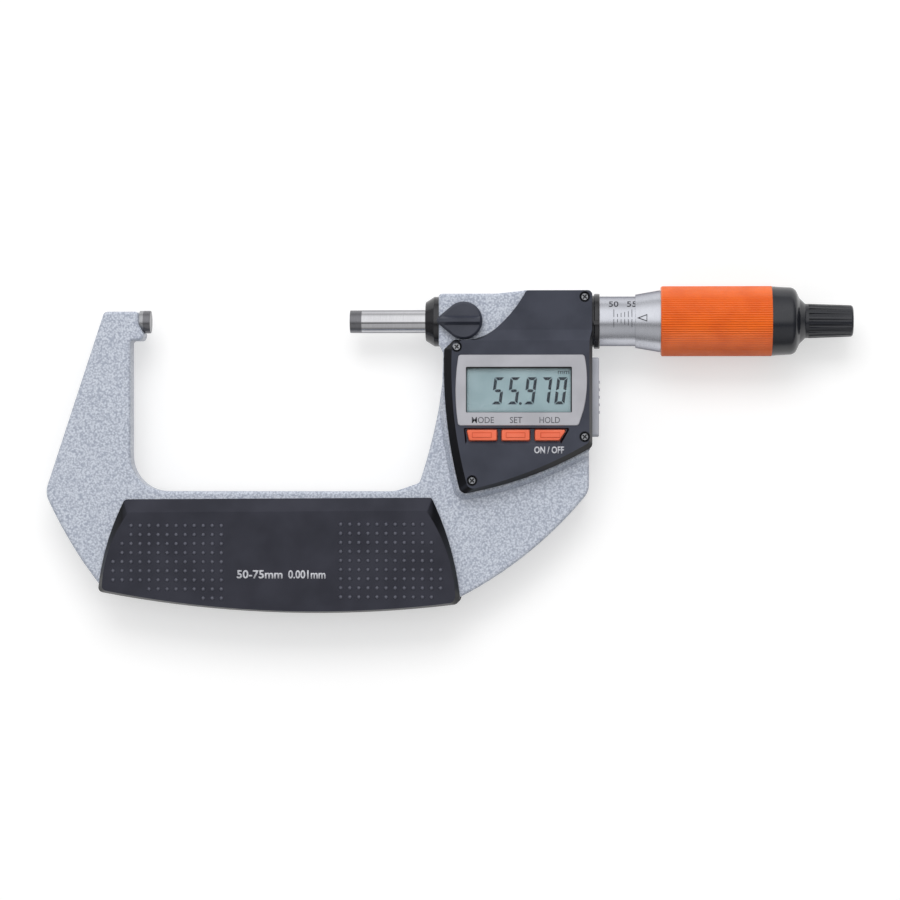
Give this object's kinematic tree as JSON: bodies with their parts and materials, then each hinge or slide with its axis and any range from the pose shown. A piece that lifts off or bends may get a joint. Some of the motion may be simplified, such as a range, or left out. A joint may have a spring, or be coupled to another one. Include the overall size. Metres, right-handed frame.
{
  "type": "digital outside micrometer",
  "caption": "Outside micrometer for 50 to 75 mm with a C-shaped bow, a digital display, a ratchet thimble and a clamp lever.",
  "frame": {"origin": "centre of the anvil's measuring face", "axes": "+X along the spindle axis from the anvil towards the thimble; +Y up across the display, away from the bow; +Z out of the display, away from the back it lies on"},
  "size_m": [0.2248, 0.091, 0.0217],
  "materials": {
    "enamel": "hammered grey enamel on a cast bow",
    "steel": "plain turned steel",
    "carbide": "lapped carbide",
    "black_ring": "black finish",
    "rubber": "black rubber",
    "cover_plastic": "dark navy-grey, dimpled grip",
    "housing_plastic": "dark slate grey",
    "screw_steel": "darkened steel",
    "bezel_metal": "silver-grey",
    "clear_window": "clear",
    "lcd_glass": "grey-green display",
    "board": "green circuit board",
    "cell_steel": "nickel-plated cell",
    "contact_metal": "plated contact",
    "grey_plastic": "mid grey",
    "satin_chrome": "satin chrome",
    "polished_steel": "polished",
    "brass": "turned brass",
    "orange_grip": "orange, knurled",
    "black_plastic": "black",
    "spring_steel": "spring wire",
    "lever_plastic": "dark grey",
    "orange_button": "orange-red"
  },
  "bodies": {
    "frame": {"frame": "enamel", "anvil": "steel", "anvil_tip": "carbide", "nose_ring": "black_ring", "spindle_wiper": "rubber", "front_cover": "cover_plastic", "rear_cover": "cover_plastic", "display_housing": "housing_plastic", "display_gasket": "rubber", "housing_screws": "screw_steel", "bezel": "bezel_metal", "display_window": "clear_window", "lcd_panel": "lcd_glass", "main_board": "board", "stator_disc": "board", "battery": "cell_steel", "battery_contact": "contact_metal", "connector_cover": "grey_plastic", "connector_screws": "screw_steel", "inner_sleeve": "steel", "adjusting_nut": "steel", "sleeve": "satin_chrome", "sleeve_collar": "black_ring", "lock_ring": "black_ring", "clamp_plug": "brass", "mode_dome": "rubber", "set_dome": "rubber", "hold_dome": "rubber"},
    "encoder_rotor": {"rotor_disc": "board", "rotor_bush": "brass", "rotor_key": "steel"},
    "spindle": {"spindle": "polished_steel", "spindle_tip": "carbide", "thimble": "satin_chrome", "driven_ratchet": "steel", "ratchet_screw": "steel"},
    "grip": {"thimble_grip": "orange_grip", "grip_ring": "black_plastic", "end_cap": "black_plastic", "driving_ratchet": "steel", "ratchet_spring": "spring_steel", "spring_seat": "steel"},
    "clamp": {"clamp_lever": "lever_plastic", "clamp_shaft": "steel"},
    "mode_key": {"mode_button": "orange_button"},
    "set_key": {"set_button": "orange_button"},
    "hold_key": {"hold_button": "orange_button"},
    "seal": {"battery_seal": "rubber"},
    "battery_door": {"battery_cap": "grey_plastic"}
  },
  "joints": [
    {"name": "spindle_turn", "type": "hinge", "parent": "frame", "child": "encoder_rotor", "pos_m": [0.106, 0, 0], "axis": [1, 0, 0], "range_deg": [-1075.1, 3425.9]},
    {"name": "spindle_feed", "type": "slide", "parent": "encoder_rotor", "child": "spindle", "axis": [1, 0, 0], "range_m": [-0.00597, 0.01903]},
    {"name": "ratchet_slip", "type": "hinge", "parent": "spindle", "child": "grip", "pos_m": [0.16, 0, 0], "axis": [1, 0, 0], "continuous": true},
    {"name": "clamp_turn", "type": "hinge", "parent": "frame", "child": "clamp", "pos_m": [0.088, 0, 0.0073], "axis": [0, 0, 1], "range_deg": [-45, 0]},
    {"name": "mode_press", "type": "slide", "parent": "frame", "child": "mode_key", "axis": [0, 0, -1], "range_m": [0, 0.0005], "stiffness_N_per_m": 2000, "deforming": ["mode_dome"]},
    {"name": "set_press", "type": "slide", "parent": "frame", "child": "set_key", "axis": [0, 0, -1], "range_m": [0, 0.0005], "stiffness_N_per_m": 2000, "deforming": ["set_dome"]},
    {"name": "hold_press", "type": "slide", "parent": "frame", "child": "hold_key", "axis": [0, 0, -1], "range_m": [0, 0.0005], "stiffness_N_per_m": 2000, "deforming": ["hold_dome"]},
    {"name": "battery_cap_lift", "type": "slide", "parent": "frame", "child": "seal", "axis": [0, 0, -1], "range_m": [0, 0.00225]},
    {"name": "battery_cap_turn", "type": "hinge", "parent": "seal", "child": "battery_door", "pos_m": [0.103, -0.021, -0.0101], "axis": [0, 0, -1], "range_deg": [0, 1080.5]}
  ],
  "couplings": [
    {"joint": "spindle_turn", "follows": "spindle_feed", "rad_per_m": 3141.6},
    {"joint": "battery_cap_turn", "follows": "battery_cap_lift", "rad_per_m": 8377.6}
  ]
}
